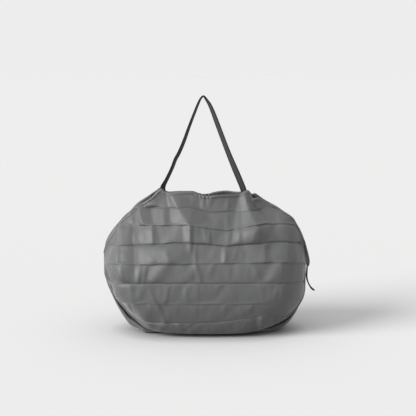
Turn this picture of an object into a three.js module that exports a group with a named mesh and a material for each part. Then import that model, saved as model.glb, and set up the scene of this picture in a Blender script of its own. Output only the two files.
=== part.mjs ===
// A foldable shopping bag of thin pleated cloth, filled out and standing on its base.
// Its strap is held up.
// Millimetres. X runs along the pleats, Y from front to back and Z up.
// The origin is on the floor, under the middle of the bag.
import * as THREE from "three";

// Sizes that drive the rest
const WALL = 2; // cloth, measured from front to back
const SEAM = 0.8; // between the cloth's edge and the hem above it
const END_INSET = 5; // how far the hollow stops short of each end
const INSET_FROM = 150; // distance from the middle where that starts
const BAND = 41; // cloth between two neighbouring creases
// The folded rim: how far it stands either side of the cloth, its least distance from the middle,
// how many times its height it may drop where the rim runs down to an end,
// and where its top starts to round
const HEM = { height: 6, inner: 1.2, outer: 1.9, least: 2, steepest: 2.4, shoulder: 0.85 };
// The webbing, with depth as how far behind the middle it hangs
const STRAP = { width: 13, thick: 1.9, chamfer: 0.6, depth: 0.8 };
const TAB_WIDTH = 9; // from front to back
const LOOP = { diameter: 3, sides: 8, steps: 40 };

// Cross-sections from the left end to the right end: the lowest cloth,
// how far the base's edges stand above it, the greatest half depth,
// the half depth between the base's edges and half of the mouth's opening.
const SECTIONS = [
  { x: -225, bottom: 124, lip: 0, depth: 0, base: 0, gap: 2 },
  { x: -218, bottom: 103, lip: 0, depth: 29, base: 10, gap: 2 },
  { x: -205, bottom: 74, lip: 3, depth: 59, base: 18, gap: 2.2 },
  { x: -190, bottom: 46, lip: 17, depth: 82, base: 26, gap: 2.5 },
  { x: -178, bottom: 28, lip: 23, depth: 91.5, base: 33, gap: 2.7 },
  { x: -162, bottom: 13, lip: 24, depth: 98, base: 41, gap: 3.2 },
  { x: -142, bottom: 4, lip: 19, depth: 102.5, base: 53, gap: 4 },
  { x: -122, bottom: 0, lip: 14, depth: 104.5, base: 64, gap: 5 },
  { x: -100, bottom: 0, lip: 10, depth: 105.5, base: 72, gap: 7 },
  { x: -84, bottom: 0, lip: 8.5, depth: 106, base: 76, gap: 10 },
  { x: -55, bottom: 0, lip: 7.5, depth: 107, base: 79, gap: 18 },
  { x: -9, bottom: 0, lip: 7, depth: 108, base: 80, gap: 21 },
  { x: 12, bottom: 0, lip: 7, depth: 108, base: 80, gap: 21 },
  { x: 40, bottom: 0, lip: 7, depth: 107.5, base: 79, gap: 17 },
  { x: 64, bottom: 0, lip: 7.5, depth: 106.5, base: 78, gap: 9 },
  { x: 77, bottom: 0, lip: 8, depth: 106, base: 76, gap: 4.5 },
  { x: 91, bottom: 0, lip: 9, depth: 105.5, base: 73, gap: 5 },
  { x: 107, bottom: 0, lip: 11, depth: 105, base: 67, gap: 4.5 },
  { x: 126, bottom: 1.5, lip: 13, depth: 104, base: 58, gap: 4 },
  { x: 148, bottom: 6, lip: 14, depth: 101, base: 48, gap: 3.5 },
  { x: 167, bottom: 13, lip: 12, depth: 94, base: 39, gap: 3.1 },
  { x: 184, bottom: 30, lip: 8, depth: 79.5, base: 30, gap: 2.7 },
  { x: 200, bottom: 51, lip: 3.5, depth: 56.5, base: 20, gap: 2.3 },
  { x: 210, bottom: 69, lip: 1, depth: 33, base: 11, gap: 2 },
  { x: 216.3, bottom: 88, lip: 0, depth: 0, base: 0, gap: 2 },
];
const DEEPEST = 110; // the greatest half depth with its folds

// The mouth's edge: its height at the front and at the back
const RIM = [
  { x: -225, front: 172, back: 172 },
  { x: -218, front: 198, back: 198 },
  { x: -205, front: 219, back: 219 },
  { x: -190, front: 238, back: 238 },
  { x: -177, front: 252, back: 252.5 },
  { x: -156, front: 268.5, back: 273 },
  { x: -132, front: 283.5, back: 290 },
  { x: -119, front: 292.5, back: 299 },
  { x: -103, front: 309, back: 310 },
  { x: -98, front: 311, back: 311 },
  { x: -91, front: 306, back: 305 },
  { x: -83, front: 303.5, back: 301.5 },
  { x: -57, front: 306, back: 302 },
  { x: -31, front: 305.5, back: 301.5 },
  { x: -8, front: 297.5, back: 295 },
  { x: 14, front: 298, back: 299 },
  { x: 43, front: 298.5, back: 303 },
  { x: 63, front: 299, back: 301.5 },
  { x: 82, front: 305.5, back: 304 },
  { x: 89, front: 307, back: 305.5 },
  { x: 98.5, front: 290, back: 297 },
  { x: 109, front: 291, back: 296.5 },
  { x: 126, front: 283, back: 284.5 },
  { x: 150, front: 270.5, back: 271.5 },
  { x: 170, front: 257.5, back: 258 },
  { x: 187, front: 246, back: 246 },
  { x: 203, front: 219, back: 219 },
  { x: 214.5, front: 187, back: 187 },
  { x: 216.3, front: 164, back: 164 },
];
const CALM_REACH = 32; // the walls follow a rim that is evened out over this reach to either side
const CALM_ENDS = 90; // distance from an end where that reach starts to shrink
const CALM_STEPS = 8;

const STEPS_PER_SECTION = 2;
const SMALLEST_AREA = 1e-6; // of a triangle that is kept

// The creases of one side, from the rim to the edge of the base: height, how far each is pressed in,
// how fast it closes where its bands are squeezed, and its dips.
// Even creases stand out. The back has the same creases.
const CREASES = [
  { height: 400, pressed: 0, closing: 0, dips: [] },
  {
    height: 273,
    pressed: 4,
    closing: 0.08,
    dips: [{ x: 24, width: 40, drop: 9 }, { x: 105, width: 26, drop: 7 }],
  },
  {
    height: 241,
    pressed: 0,
    closing: 0,
    dips: [{ x: 39, width: 38, drop: 9.5 }, { x: -190, width: 26, drop: 3 }],
  },
  {
    height: 206,
    pressed: 5,
    closing: 0.12,
    dips: [{ x: 44, width: 42, drop: 8 }, { x: -215, width: 45, drop: 7 }],
  },
  { height: 167, pressed: 0, closing: 0, dips: [{ x: -215, width: 45, drop: 7 }] },
  { height: 124, pressed: 4, closing: 0.3, dips: [{ x: -190, width: 40, drop: 2 }] },
  { height: 80.5, pressed: 0, closing: 0, dips: [] },
  { height: 38, pressed: 2, closing: 0.4, dips: [{ x: 150, width: 75, drop: -8 }] },
  { height: -80, pressed: 0, closing: 0, dips: [] },
];
const END_SAG = 0.16; // how far the creases sink towards the ends, as a share of the depth lost there
const PINCH = 0.03; // least height of a band, as a share of the bag's height there
const PLEAT_SHARE = 0.34; // the deepest pleat, as a share of the half depth

// The side walls: their widest level as a share of the height, and how they curve above and below it
const WAIST = { level: 0.4, above: 1.6, below: 2.5 };
// The least share of the half depth that folds and the wall's thickness may leave
const LEAST_SHARE = { side: 0.5, base: 0.8 };

// Main folds. side is -1 at the front and 1 at the back.
// A fold's crest starts at x on crease from and leans by lean until crease to.
// It falls away over left and right, which grow by spread on the way, and stands lift proud.
const FOLDS = [
  { side: -1, x: 80, lean: 30, from: 0.1, to: 3, left: 12, right: 12, spread: 5, lift: 11 },
  { side: -1, x: -78, lean: 38, from: 0.1, to: 2, left: 10, right: 20, spread: 4, lift: 8 },
  { side: -1, x: -147, lean: 16, from: 0.9, to: 2, left: 16, right: 22, spread: 1, lift: 10 },
  { side: -1, x: -91, lean: 1, from: 1, to: 2, left: 24, right: 12, spread: 1, lift: 5 },
  { side: -1, x: -178, lean: 2, from: 2, to: 3, left: 14, right: 40, spread: 1, lift: 7 },
  { side: -1, x: -112, lean: 1, from: 2, to: 3, left: 20, right: 12, spread: 1, lift: 6 },
  { side: -1, x: -38, lean: 1, from: 2, to: 3, left: 14, right: 76, spread: 1, lift: 6 },
  { side: -1, x: -197, lean: 1, from: 3, to: 4, left: 24, right: 50, spread: 1, lift: 11 },
  { side: -1, x: -83, lean: 2, from: 3, to: 4, left: 62, right: 50, spread: 1, lift: 9 },
  { side: -1, x: 172, lean: 0, from: 0.9, to: 4, left: 62, right: 30, spread: 1, lift: 5 },
  { side: -1, x: 121, lean: 0, from: 3, to: 4, left: 40, right: 16, spread: 1, lift: 5 },
  { side: -1, x: -187, lean: 2, from: 4, to: 5, left: 16, right: 24, spread: 1, lift: 7 },
  { side: -1, x: -95, lean: -14, from: 4, to: 5, left: 18, right: 30, spread: 1, lift: 6 },
  { side: -1, x: 156, lean: -24, from: 4, to: 5, left: 16, right: 26, spread: 1, lift: 6 },
  { side: -1, x: -160, lean: 36, from: 5.6, to: 6.6, left: 18, right: 20, spread: 1, lift: 5 },
  { side: 1, x: 82, lean: -30, from: 0.1, to: 3, left: 14, right: 12, spread: 3, lift: 11 },
  { side: 1, x: -96, lean: 34, from: 0.1, to: 2.4, left: 12, right: 12, spread: 3, lift: 10 },
  { side: 1, x: -140, lean: -12, from: 1.8, to: 3, left: 22, right: 14, spread: 1, lift: 7 },
  { side: 1, x: 140, lean: 8, from: 2, to: 4, left: 24, right: 16, spread: 1, lift: 7 },
  { side: 1, x: 10, lean: 16, from: 2, to: 3, left: 20, right: 12, spread: 1, lift: 5.5 },
  { side: 1, x: -60, lean: -10, from: 3, to: 4, left: 40, right: 14, spread: 1, lift: 6 },
  { side: 1, x: 178, lean: -4, from: 3, to: 4, left: 20, right: 16, spread: 1, lift: 7 },
  { side: 1, x: 90, lean: 20, from: 4, to: 5, left: 18, right: 14, spread: 1, lift: 5.5 },
  { side: 1, x: -150, lean: 20, from: 4, to: 6, left: 16, right: 20, spread: 1, lift: 6 },
  { side: 1, x: -30, lean: 24, from: 5, to: 6, left: 14, right: 12, spread: 1, lift: 5 },
];

// A fold rises with the growth of its width, fades past its ends and dies where the bag is thin
const FOLD = { growth: 0.4, fade: 4, thin: 5, full: 45 };

// The strap's middle line from one end, inside the mouth, to the other, and how far its face is turned
const STRAP_LINE = [
  { x: -93, z: 278, turn: 6 },
  { x: -95, z: 311, turn: 26 },
  { x: -92, z: 320, turn: 44 },
  { x: -88, z: 328, turn: 54 },
  { x: -73, z: 360, turn: 58 },
  { x: -68, z: 373.5, turn: 57 },
  { x: -61.5, z: 385, turn: 56 },
  { x: -52, z: 406, turn: 58 },
  { x: -36.5, z: 448, turn: 64 },
  { x: -25.2, z: 477, turn: 68 },
  { x: -18.5, z: 493.5, turn: 70 },
  { x: -14, z: 503, turn: 74 },
  { x: -7.2, z: 510, turn: 76 },
  { x: -1.8, z: 503, turn: 68 },
  { x: 4.7, z: 493.5, turn: 58 },
  { x: 12.3, z: 477, turn: 49 },
  { x: 19.5, z: 458, turn: 43 },
  { x: 44.5, z: 392, turn: 36 },
  { x: 51, z: 376, turn: 30 },
  { x: 61.5, z: 351, turn: 13 },
  { x: 69.2, z: 333, turn: 5 },
  { x: 79.4, z: 307, turn: 0 },
  { x: 87, z: 278, turn: 0 },
];
const STRAP_RINGS = 46;

// The tab beside the right end, and the elastic loop that hangs from it
const TAB_OUTLINE = [
  { x: 212.8, z: 201 },
  { x: 217.4, z: 186 },
  { x: 222.4, z: 166 },
  { x: 225, z: 150 },
  { x: 223, z: 140 },
  { x: 217, z: 140 },
  { x: 217, z: 163.5 },
  { x: 215.2, z: 187 },
];
const LOOP_STRAND = [
  { x: 219.3, y: 2.8, z: 139.6 },
  { x: 219, y: 3, z: 133 },
  { x: 218.6, y: 3.8, z: 126 },
  { x: 218.4, y: 4.8, z: 119 },
  { x: 219.2, y: 5.8, z: 112 },
  { x: 221.4, y: 6.6, z: 104.5 },
  { x: 225, y: 7, z: 97 },
  { x: 229.3, y: 7, z: 90.8 },
  { x: 232.2, y: 6.1, z: 88.4 },
  { x: 234.4, y: 3.6, z: 87 },
  { x: 235.2, y: 0, z: 86.6 },
];

const GREY_CLOTH = { color: 0x6d6e6e, roughness: 0.62, metalness: 0 };
const DARK_WEBBING = { color: 0x39393a, roughness: 0.75, metalness: 0 };

// The value of one column of a table at x, on a smooth line that never swings past its rows.
function at(rows, key, x) {
  const last = rows.length - 2;
  const found = rows.findIndex((row, n) => n > last || x <= rows[n + 1].x);
  const i = Math.min(found, last);
  const slope = (n) => {
    if (n < 0 || n > last) return 0;
    return (rows[n + 1][key] - rows[n][key]) / (rows[n + 1].x - rows[n].x);
  };
  const tangent = (n) => {
    if (n === 0) return slope(0);
    if (n > last) return slope(last);
    const [a, b] = [slope(n - 1), slope(n)];
    return a * b <= 0 ? 0 : (2 * a * b) / (a + b);
  };
  const span = rows[i + 1].x - rows[i].x;
  const t = (x - rows[i].x) / span;
  const [t2, t3] = [t * t, t * t * t];
  return (
    (2 * t3 - 3 * t2 + 1) * rows[i][key] +
    (t3 - 2 * t2 + t) * span * tangent(i) +
    (3 * t2 - 2 * t3) * rows[i + 1][key] +
    (t3 - t2) * span * tangent(i + 1)
  );
}

const bell = (t) => Math.exp(-t * t);

// The height of the mouth's edge on one side.
const rimHeight = (side, x) => at(RIM, side < 0 ? "front" : "back", x);

// The same without its short notches, which the walls below don't follow.
function calmRim(side, x) {
  const [left, right] = [RIM[0].x, RIM.at(-1).x];
  const reach = CALM_REACH * Math.min(1, (x - left) / CALM_ENDS, (right - x) / CALM_ENDS);
  let [sum, weights] = [0, 0];
  for (let k = -CALM_STEPS; k <= CALM_STEPS; k++) {
    const weight = bell(k / CALM_STEPS);
    sum += weight * rimHeight(side, x + (reach * k) / CALM_STEPS);
    weights += weight;
  }
  return sum / weights;
}

// The height lost by a strip of that width along the rim, which is more where the rim is steep.
function rimDrop(side, x, width) {
  const step = 0.5;
  const [a, b] = [Math.max(RIM[0].x, x - step), Math.min(RIM.at(-1).x, x + step)];
  const slope = (rimHeight(side, b) - rimHeight(side, a)) / (b - a);
  return width * Math.min(HEM.steepest, Math.hypot(1, slope));
}

// Crease n at x: it runs level until it meets the rim or the edge of the base, and then follows that.
function creaseHeight(n, x, top, edge) {
  const { height, dips } = CREASES[n];
  const sag = END_SAG * (DEEPEST - at(SECTIONS, "depth", x));
  const line = dips.reduce((z, dip) => z - dip.drop * bell((x - dip.x) / dip.width), height - sag);
  const pinch = PINCH * (top - edge);
  const last = CREASES.length - 1;
  return Math.min(top - n * pinch, Math.max(edge + (last - n) * pinch, line));
}

// A value between two neighbouring creases.
function between(level, value) {
  const n = Math.min(Math.floor(level), CREASES.length - 2);
  return THREE.MathUtils.lerp(value(n), value(n + 1), level - n);
}

// How far crease n is pressed in: more where the bands beside it are squeezed.
function pleat(n, x, top, edge) {
  const { pressed, closing } = CREASES[n];
  if (!pressed) return 0;
  const room = (creaseHeight(n - 1, x, top, edge) - creaseHeight(n + 1, x, top, edge)) / 2;
  return pressed + closing * Math.max(0, BAND - room);
}

// How far the folds of one side move the cloth out at a level between creases.
function foldLift(side, x, level) {
  return FOLDS.filter((fold) => fold.side === side).reduce((sum, fold) => {
    const along = THREE.MathUtils.clamp((level - fold.from) / (fold.to - fold.from), 0, 1);
    const past = Math.max(0, fold.from - level, level - fold.to);
    const wider = 1 + (fold.spread - 1) * along;
    const aside = x - fold.x - fold.lean * along;
    const reach = wider * (aside < 0 ? fold.left : fold.right);
    const shape = Math.max(0, 1 - Math.abs(aside) / reach);
    return sum + fold.lift * wider ** FOLD.growth * shape * bell(FOLD.fade * past);
  }, 0);
}

// Levels count creases: 0 at the front rim, 8 and 12 at the edges of the base, and 20 at the back rim.
const BASE_FRONT = CREASES.length - 1;
const BASE_BACK = BASE_FRONT + 4;
const BACK_RIM = BASE_FRONT + BASE_BACK;

// The half depth of the bag at a height, without its pleats and folds.
function swell(side, x, z, edge, depth) {
  const base = Math.min(depth, at(SECTIONS, "base", x));
  const gap = Math.min(depth, at(SECTIONS, "gap", x));
  const share = (z - edge) / (calmRim(side, x) - edge);
  const above = THREE.MathUtils.clamp((share - WAIST.level) / (1 - WAIST.level), 0, 1);
  const below = THREE.MathUtils.clamp((WAIST.level - share) / WAIST.level, 0, 1);
  if (above > 0) return gap + (depth - gap) * (1 - above ** WAIST.above);
  return base + (depth - base) * (1 - below ** WAIST.below);
}

// A point of the cloth. The inside lies within the outside by the cloth's thickness.
function cloth(station, level, inside) {
  const end = station < 0 ? SECTIONS[0].x : SECTIONS.at(-1).x;
  const nearEnd = THREE.MathUtils.smoothstep(Math.abs(station), INSET_FROM, Math.abs(end));
  const x = inside ? station - Math.sign(station) * END_INSET * nearEnd : station;
  const wall = inside ? WALL : 0;
  const depth = at(SECTIONS, "depth", station);
  const bottom = at(SECTIONS, "bottom", x) + wall;
  const edge = bottom + at(SECTIONS, "lip", x);
  if (level >= BASE_FRONT && level <= BASE_BACK) {
    const across = (2 * (level - BASE_FRONT)) / (BASE_BACK - BASE_FRONT) - 1;
    const base = Math.min(depth, at(SECTIONS, "base", x));
    const half = Math.max(LEAST_SHARE.base * base, base - wall);
    const rise = Math.max(0, 2 * Math.abs(across) - 1);
    return new THREE.Vector3(x, half * across, THREE.MathUtils.lerp(bottom, edge, rise));
  }
  const side = level < BASE_FRONT ? -1 : 1;
  const down = side < 0 ? level : BACK_RIM - level;
  const top = rimHeight(side, x) - rimDrop(side, x, HEM.height + SEAM);
  const z = between(down, (n) => creaseHeight(n, x, top, edge));
  const half = swell(side, x, z, edge, depth);
  const pressed = Math.min(
    PLEAT_SHARE * half,
    between(down, (n) => pleat(n, x, top, edge)),
  );
  const settled = THREE.MathUtils.smoothstep(depth, FOLD.thin, FOLD.full);
  const out = Math.min(DEEPEST, half - pressed + settled * foldLift(side, station, down));
  return new THREE.Vector3(x, side * Math.max(LEAST_SHARE.side * half, out - wall), z);
}

// A closed mesh from quads, with the sides that have shrunk to a point left out.
function closedMesh(quads) {
  const corners = [];
  for (const [a, b, c, d] of quads) {
    for (const triangle of [
      [a, b, c],
      [a, c, d],
    ]) {
      const [p, q, r] = triangle;
      const area = q.clone().sub(p).cross(r.clone().sub(p)).length();
      if (area > SMALLEST_AREA) corners.push(...triangle);
    }
  }
  const geometry = new THREE.BufferGeometry().setFromPoints(corners);
  geometry.computeVertexNormals();
  return geometry;
}

// A closed mesh through rings of points, with flat ends.
function loft(rings) {
  const quads = [];
  const sides = rings[0].length;
  for (let i = 0; i + 1 < rings.length; i++) {
    for (let k = 0; k < sides; k++) {
      const next = (k + 1) % sides;
      quads.push([rings[i][k], rings[i][next], rings[i + 1][next], rings[i + 1][k]]);
    }
  }
  for (let k = 1; k + 1 < sides; k += 2) {
    const [first, last] = [rings[0], rings.at(-1)];
    const far = Math.min(k + 2, sides - 1);
    quads.push([first[0], first[far], first[k + 1], first[k]]);
    quads.push([last[0], last[k], last[k + 1], last[far]]);
  }
  return closedMesh(quads);
}

function piece(name, geometry, finish) {
  const mesh = new THREE.Mesh(geometry, new THREE.MeshStandardMaterial(finish));
  mesh.name = name;
  return mesh;
}

// Stations along X: every section, with even steps between.
const STATIONS = SECTIONS.slice(1).reduce(
  (found, row, n) => {
    const before = SECTIONS[n].x;
    for (let k = 1; k <= STEPS_PER_SECTION; k++) {
      found.push(THREE.MathUtils.lerp(before, row.x, k / STEPS_PER_SECTION));
    }
    return found;
  },
  [SECTIONS[0].x],
);

// The pleated body: one sheet of cloth, folded under the base and closed at both ends, open at the mouth.
function pleatedBody() {
  const levels = [];
  for (let n = 0; n < BASE_FRONT; n++) levels.push(n, n + 0.5);
  for (let n = BASE_FRONT; n <= BASE_BACK; n++) levels.push(n);
  for (let n = BASE_BACK; n < BACK_RIM; n++) levels.push(n + 0.5, n + 1);
  const skin = (inside) => STATIONS.map((x) => levels.map((level) => cloth(x, level, inside)));
  const [outer, inner] = [skin(false), skin(true)];
  const last = levels.length - 1;
  const quads = [];
  for (let i = 0; i + 1 < STATIONS.length; i++) {
    for (let j = 0; j < last; j++) {
      quads.push([outer[i][j], outer[i][j + 1], outer[i + 1][j + 1], outer[i + 1][j]]);
      quads.push([inner[i][j], inner[i + 1][j], inner[i + 1][j + 1], inner[i][j + 1]]);
    }
    quads.push([outer[i][0], outer[i + 1][0], inner[i + 1][0], inner[i][0]]);
    quads.push([outer[i][last], inner[i][last], inner[i + 1][last], outer[i + 1][last]]);
  }
  return closedMesh(quads);
}

// The folded hem along one side of the mouth.
function mouthHem(side) {
  const rings = STATIONS.map((x) => {
    const top = rimHeight(side, x);
    const foot = top - rimDrop(side, x, HEM.height);
    const edge = at(SECTIONS, "bottom", x) + at(SECTIONS, "lip", x);
    const shoulder = THREE.MathUtils.lerp(foot, top, HEM.shoulder);
    const point = (z, out) => {
      const half = swell(side, x, z, edge, at(SECTIONS, "depth", x));
      return new THREE.Vector3(x, side * (Math.max(HEM.least, half) + out), z);
    };
    const ring = [
      point(foot, HEM.outer),
      point(shoulder, HEM.outer),
      point(top, (HEM.outer - HEM.inner) / 2),
      point(shoulder, -HEM.inner),
      point(foot, -HEM.inner),
    ];
    return side < 0 ? ring.reverse() : ring;
  });
  return loft(rings);
}

// The webbing strap: a flat band that turns on its way up to the peak and down again.
function shoulderStrap() {
  const line = new THREE.CatmullRomCurve3(
    STRAP_LINE.map(({ x, z }) => new THREE.Vector3(x, STRAP.depth, z)),
    false,
    "centripetal",
  );
  const turns = new THREE.CatmullRomCurve3(STRAP_LINE.map(({ turn }) => new THREE.Vector3(turn, 0, 0)));
  const [half, thick] = [STRAP.width / 2, STRAP.thick / 2];
  const [flat, edge] = [half - STRAP.chamfer, thick - STRAP.chamfer];
  const outline = [
    [half, edge],
    [flat, thick],
    [-flat, thick],
    [-half, edge],
    [-half, -edge],
    [-flat, -thick],
    [flat, -thick],
    [half, -edge],
  ];
  const rings = [];
  for (let i = 0; i <= STRAP_RINGS; i++) {
    const share = i / STRAP_RINGS;
    const middle = line.getPoint(share);
    const along = line.getTangent(share);
    const turn = THREE.MathUtils.degToRad(turns.getPoint(share).x);
    const back = new THREE.Vector3(0, 1, 0);
    const across = back.clone().cross(along).normalize();
    const wide = across.clone().multiplyScalar(Math.cos(turn)).addScaledVector(back, Math.sin(turn));
    const deep = along.clone().cross(wide).normalize();
    rings.push(
      outline.map(([w, d]) => middle.clone().addScaledVector(wide, w).addScaledVector(deep, d)),
    );
  }
  return loft(rings);
}

// The tab sewn at the right end: folded tape, cut to the outline and as deep as its width.
function endTab() {
  const shape = new THREE.Shape(TAB_OUTLINE.map(({ x, z }) => new THREE.Vector2(x, z)));
  const tape = new THREE.ExtrudeGeometry(shape, { depth: TAB_WIDTH, bevelEnabled: false });
  return tape.rotateX(Math.PI / 2).translate(0, TAB_WIDTH / 2, 0);
}

// The elastic loop: one strand down to its lowest point and the same strand up again behind it.
function closingLoop() {
  const down = LOOP_STRAND.map(({ x, y, z }) => new THREE.Vector3(x, -y, z));
  const up = LOOP_STRAND.slice(0, -1).map(({ x, y, z }) => new THREE.Vector3(x, y, z)).reverse();
  const section = new THREE.Shape();
  for (let k = 0; k < LOOP.sides; k++) {
    const turn = (2 * Math.PI * k) / LOOP.sides;
    const corner = [(LOOP.diameter / 2) * Math.cos(turn), (LOOP.diameter / 2) * Math.sin(turn)];
    if (k === 0) section.moveTo(...corner);
    else section.lineTo(...corner);
  }
  return new THREE.ExtrudeGeometry(section, {
    extrudePath: new THREE.CatmullRomCurve3([...down, ...up], false, "centripetal"),
    steps: LOOP.steps,
    bevelEnabled: false,
  });
}

const bag = new THREE.Group();
bag.add(
  piece("pleated_body", pleatedBody(), GREY_CLOTH),
  piece("front_hem", mouthHem(-1), GREY_CLOTH),
  piece("back_hem", mouthHem(1), GREY_CLOTH),
  piece("shoulder_strap", shoulderStrap(), DARK_WEBBING),
  piece("end_tab", endTab(), GREY_CLOTH),
  piece("closing_loop", closingLoop(), DARK_WEBBING),
);

export default bag;
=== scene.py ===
"""The looks of a fold-up shopping bag of pleated cloth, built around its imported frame."""

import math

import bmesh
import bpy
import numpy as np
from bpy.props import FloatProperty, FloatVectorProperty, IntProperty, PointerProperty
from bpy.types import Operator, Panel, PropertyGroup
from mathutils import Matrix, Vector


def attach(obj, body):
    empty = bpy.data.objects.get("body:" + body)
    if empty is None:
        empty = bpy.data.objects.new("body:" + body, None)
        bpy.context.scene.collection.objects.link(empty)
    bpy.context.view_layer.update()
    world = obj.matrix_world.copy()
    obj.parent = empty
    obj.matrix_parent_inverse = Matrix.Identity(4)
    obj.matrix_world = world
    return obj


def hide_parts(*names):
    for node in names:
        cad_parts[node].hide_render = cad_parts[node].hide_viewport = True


bl_info = {
    "name": "Fold-up shopping bag",
    "version": (1, 0, 0),
    "blender": (4, 5, 0),
    "location": "View3D > Sidebar > Bag",
    "description": "Builds the cloth, hems, strap and closing loop of a pleated shopping bag",
    "category": "Object",
}

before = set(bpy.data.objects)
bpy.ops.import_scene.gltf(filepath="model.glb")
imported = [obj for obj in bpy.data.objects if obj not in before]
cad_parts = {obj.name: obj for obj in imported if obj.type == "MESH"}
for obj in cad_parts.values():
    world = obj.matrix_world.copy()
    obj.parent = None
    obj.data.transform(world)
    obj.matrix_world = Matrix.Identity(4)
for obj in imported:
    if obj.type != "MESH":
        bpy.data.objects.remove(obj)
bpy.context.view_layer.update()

MM = 0.001
TINY = 1e-9
BODY = "root"


# Tables of the bag's form, in millimetres

class Rows:
    """A short table, read along its first column on a smooth line that never swings past a row."""

    def __init__(self, names, rows):
        self.columns = {name: np.array(values, float) for name, values in zip(names, zip(*rows))}
        self.places = self.columns[names[0]]

    def at(self, name, where):
        """Values of a column at places along the first."""
        x, y = self.places, self.columns[name]
        where = np.clip(where, x[0], x[-1])
        slope = np.diff(y) / np.diff(x)
        before, after = slope[:-1], slope[1:]
        tangent = np.concatenate([slope[:1], np.zeros(len(x) - 2), slope[-1:]])
        agree = before * after > 0
        tangent[1:-1][agree] = (2 * before * after)[agree] / (before + after)[agree]
        i = np.clip(np.searchsorted(x, where) - 1, 0, len(x) - 2)
        span = x[i + 1] - x[i]
        t = (where - x[i]) / span
        rise = (3 - 2 * t) * t * t
        start = t * (1 - t) ** 2
        end = t * t * (t - 1)
        return y[i] * (1 - rise) + y[i + 1] * rise + span * (start * tangent[i] + end * tangent[i + 1])


# Cross-sections from the left end to the right: the lowest cloth, the base's edge above that,
# the greatest half depth, the half depth of the base, half of the mouth's opening
# and how open the slot behind the base's edge is
SECTIONS = Rows(
    ("x", "bottom", "lip", "depth", "base", "gap", "slot"),
    [
        (-225, 124, 0, 0, 0, 1.2, 0),
        (-218, 103, 7, 29, 9, 1.2, 1),
        (-211.5, 87.5, 10, 45, 13, 1.2, 1),
        (-205, 74, 12, 59, 17, 1.2, 1),
        (-197, 58, 15.5, 73, 22, 1.25, 1),
        (-190, 46, 18, 82, 26, 1.3, 1),
        (-180, 31, 23, 90.5, 32, 1.3, 1),
        (-166, 15, 25, 97, 39, 1.5, 1),
        (-153, 9, 22, 100.5, 46, 2.2, 1),
        (-139, 3, 18, 103, 55, 3.5, 0.97),
        (-122, 0, 14, 104.5, 64, 5, 0.42),
        (-100, 0, 10, 105.5, 72, 7, 0),
        (-84, 0, 8.5, 106, 76, 10, 0),
        (-55, 0, 7.5, 107, 79, 18, 0),
        (-9, 0, 7, 108, 80, 21, 0),
        (12, 0, 7, 108, 80, 21, 0),
        (40, 0, 7, 107.5, 79, 17, 0),
        (64, 0, 7.5, 106.5, 78, 9, 0),
        (77, 0, 8, 106, 76, 4.5, 0),
        (91, 0, 9, 105.5, 73, 5, 0),
        (107, 0, 11, 105, 67, 4.2, 0.03),
        (126, 1.5, 13, 104, 58, 2.6, 0.26),
        (148, 5, 16.5, 101, 48, 1.8, 0.75),
        (165, 10, 18, 95, 40, 1.4, 0.85),
        (180, 20.5, 16, 84, 32, 1.3, 0.6),
        (195, 39.5, 9, 65, 23, 1.2, 0.15),
        (205, 59, 2, 47, 16, 1.2, 0),
        (212.5, 74, 0, 25, 8, 1.2, 0),
        (216.3, 88, 0, 0, 0, 1.2, 0),
    ],
)
LEFT, RIGHT = SECTIONS.places[0], SECTIONS.places[-1]

# The mouth's edge: its height at the front and at the back
RIM = Rows(
    ("x", "front", "back"),
    [
        (-225, 172, 172),
        (-218, 198, 198),
        (-205, 219, 219),
        (-190, 238, 238),
        (-177, 252, 252.5),
        (-167, 259, 260.5),
        (-156, 268.5, 273),
        (-148, 274, 280),
        (-132, 283.5, 290),
        (-119, 292.5, 299),
        (-110, 302, 305),
        (-103, 309, 310),
        (-98, 311, 311),
        (-91, 306, 305),
        (-83, 303.5, 301.5),
        (-57, 306, 302),
        (-31, 305.5, 301.5),
        (-22, 302, 298.5),
        (-8, 297.5, 295),
        (5, 296.5, 296),
        (14, 298, 299),
        (43, 298.5, 303),
        (63, 299, 301.5),
        (73, 301, 302),
        (82, 305.5, 304),
        (89, 307, 305.5),
        (94, 301.5, 301),
        (98.5, 290, 297),
        (103, 289.5, 299),
        (109, 291, 296.5),
        (115, 289.5, 292),
        (126, 283, 284.5),
        (150, 270.5, 271.5),
        (170, 257.5, 258),
        (187, 246, 246),
        (195, 233.5, 233.5),
        (203, 219, 219),
        (210, 203, 203),
        (214.5, 187, 187),
        (216.3, 164, 164),
    ],
)

# The creases of one side, from the rim to the edge of the base: height, and bends as the place,
# the reach to the left and to the right, and the drop
CREASES = [
    {"height": 400, "bends": []},
    {"height": 273, "bends": [(13, 43, 110, 8.6), (107, 94, 38, 5.5)]},
    {"height": 241, "bends": [(41, 76, 71, 11), (-140, 90, 56, 4)]},
    {"height": 206, "bends": [(41, 91, 100, 8), (-170, 110, 135, 8.3), (190, 116, 60, 2)]},
    {"height": 165, "bends": [(-145, 40, 60, 2.3), (150, 200, 66, -2)]},
    {"height": 123, "bends": [(-190, 66, 66, 1)]},
    {"height": 80.5, "bends": []},
    {"height": 36, "bends": [(122, 110, 66, -13.5), (-80, 100, 100, 2)]},
    {"height": -80, "bends": []},
]
BASE_EDGE = len(CREASES) - 1
KEEL = BASE_EDGE + 2

# How creases run: how far they sink where the bag is shallower than at its deepest, how close they get,
# how their bends and their meetings with the rim or the base are rounded, and how they wander
DEEPEST = 108.0
END_SAG = 0.16
PINCH = 0.015
CLAMP_SOFT = 4.0
BEND_SOFT = 4.0
WANDER = {"height": 0.7, "long": 19.0, "short": 7.3, "phases": (2.1, 3.7)}

# The reach over which the rim is evened out for the cloth below, and where it starts to shrink near an end
CALM = np.linspace(-32, 32, 17)
CALM_ENDS = 90.0

# The swell of a side: its widest level with the curves above and below it, and the upright collar
# under the rim with its height, the half depths over which it sets in and its rounding
WAIST = {"level": 0.4, "above": 1.6, "below": 2.5}
COLLAR = {"height": 11.0, "depths": (96, 106), "soft": 0.08}

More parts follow.
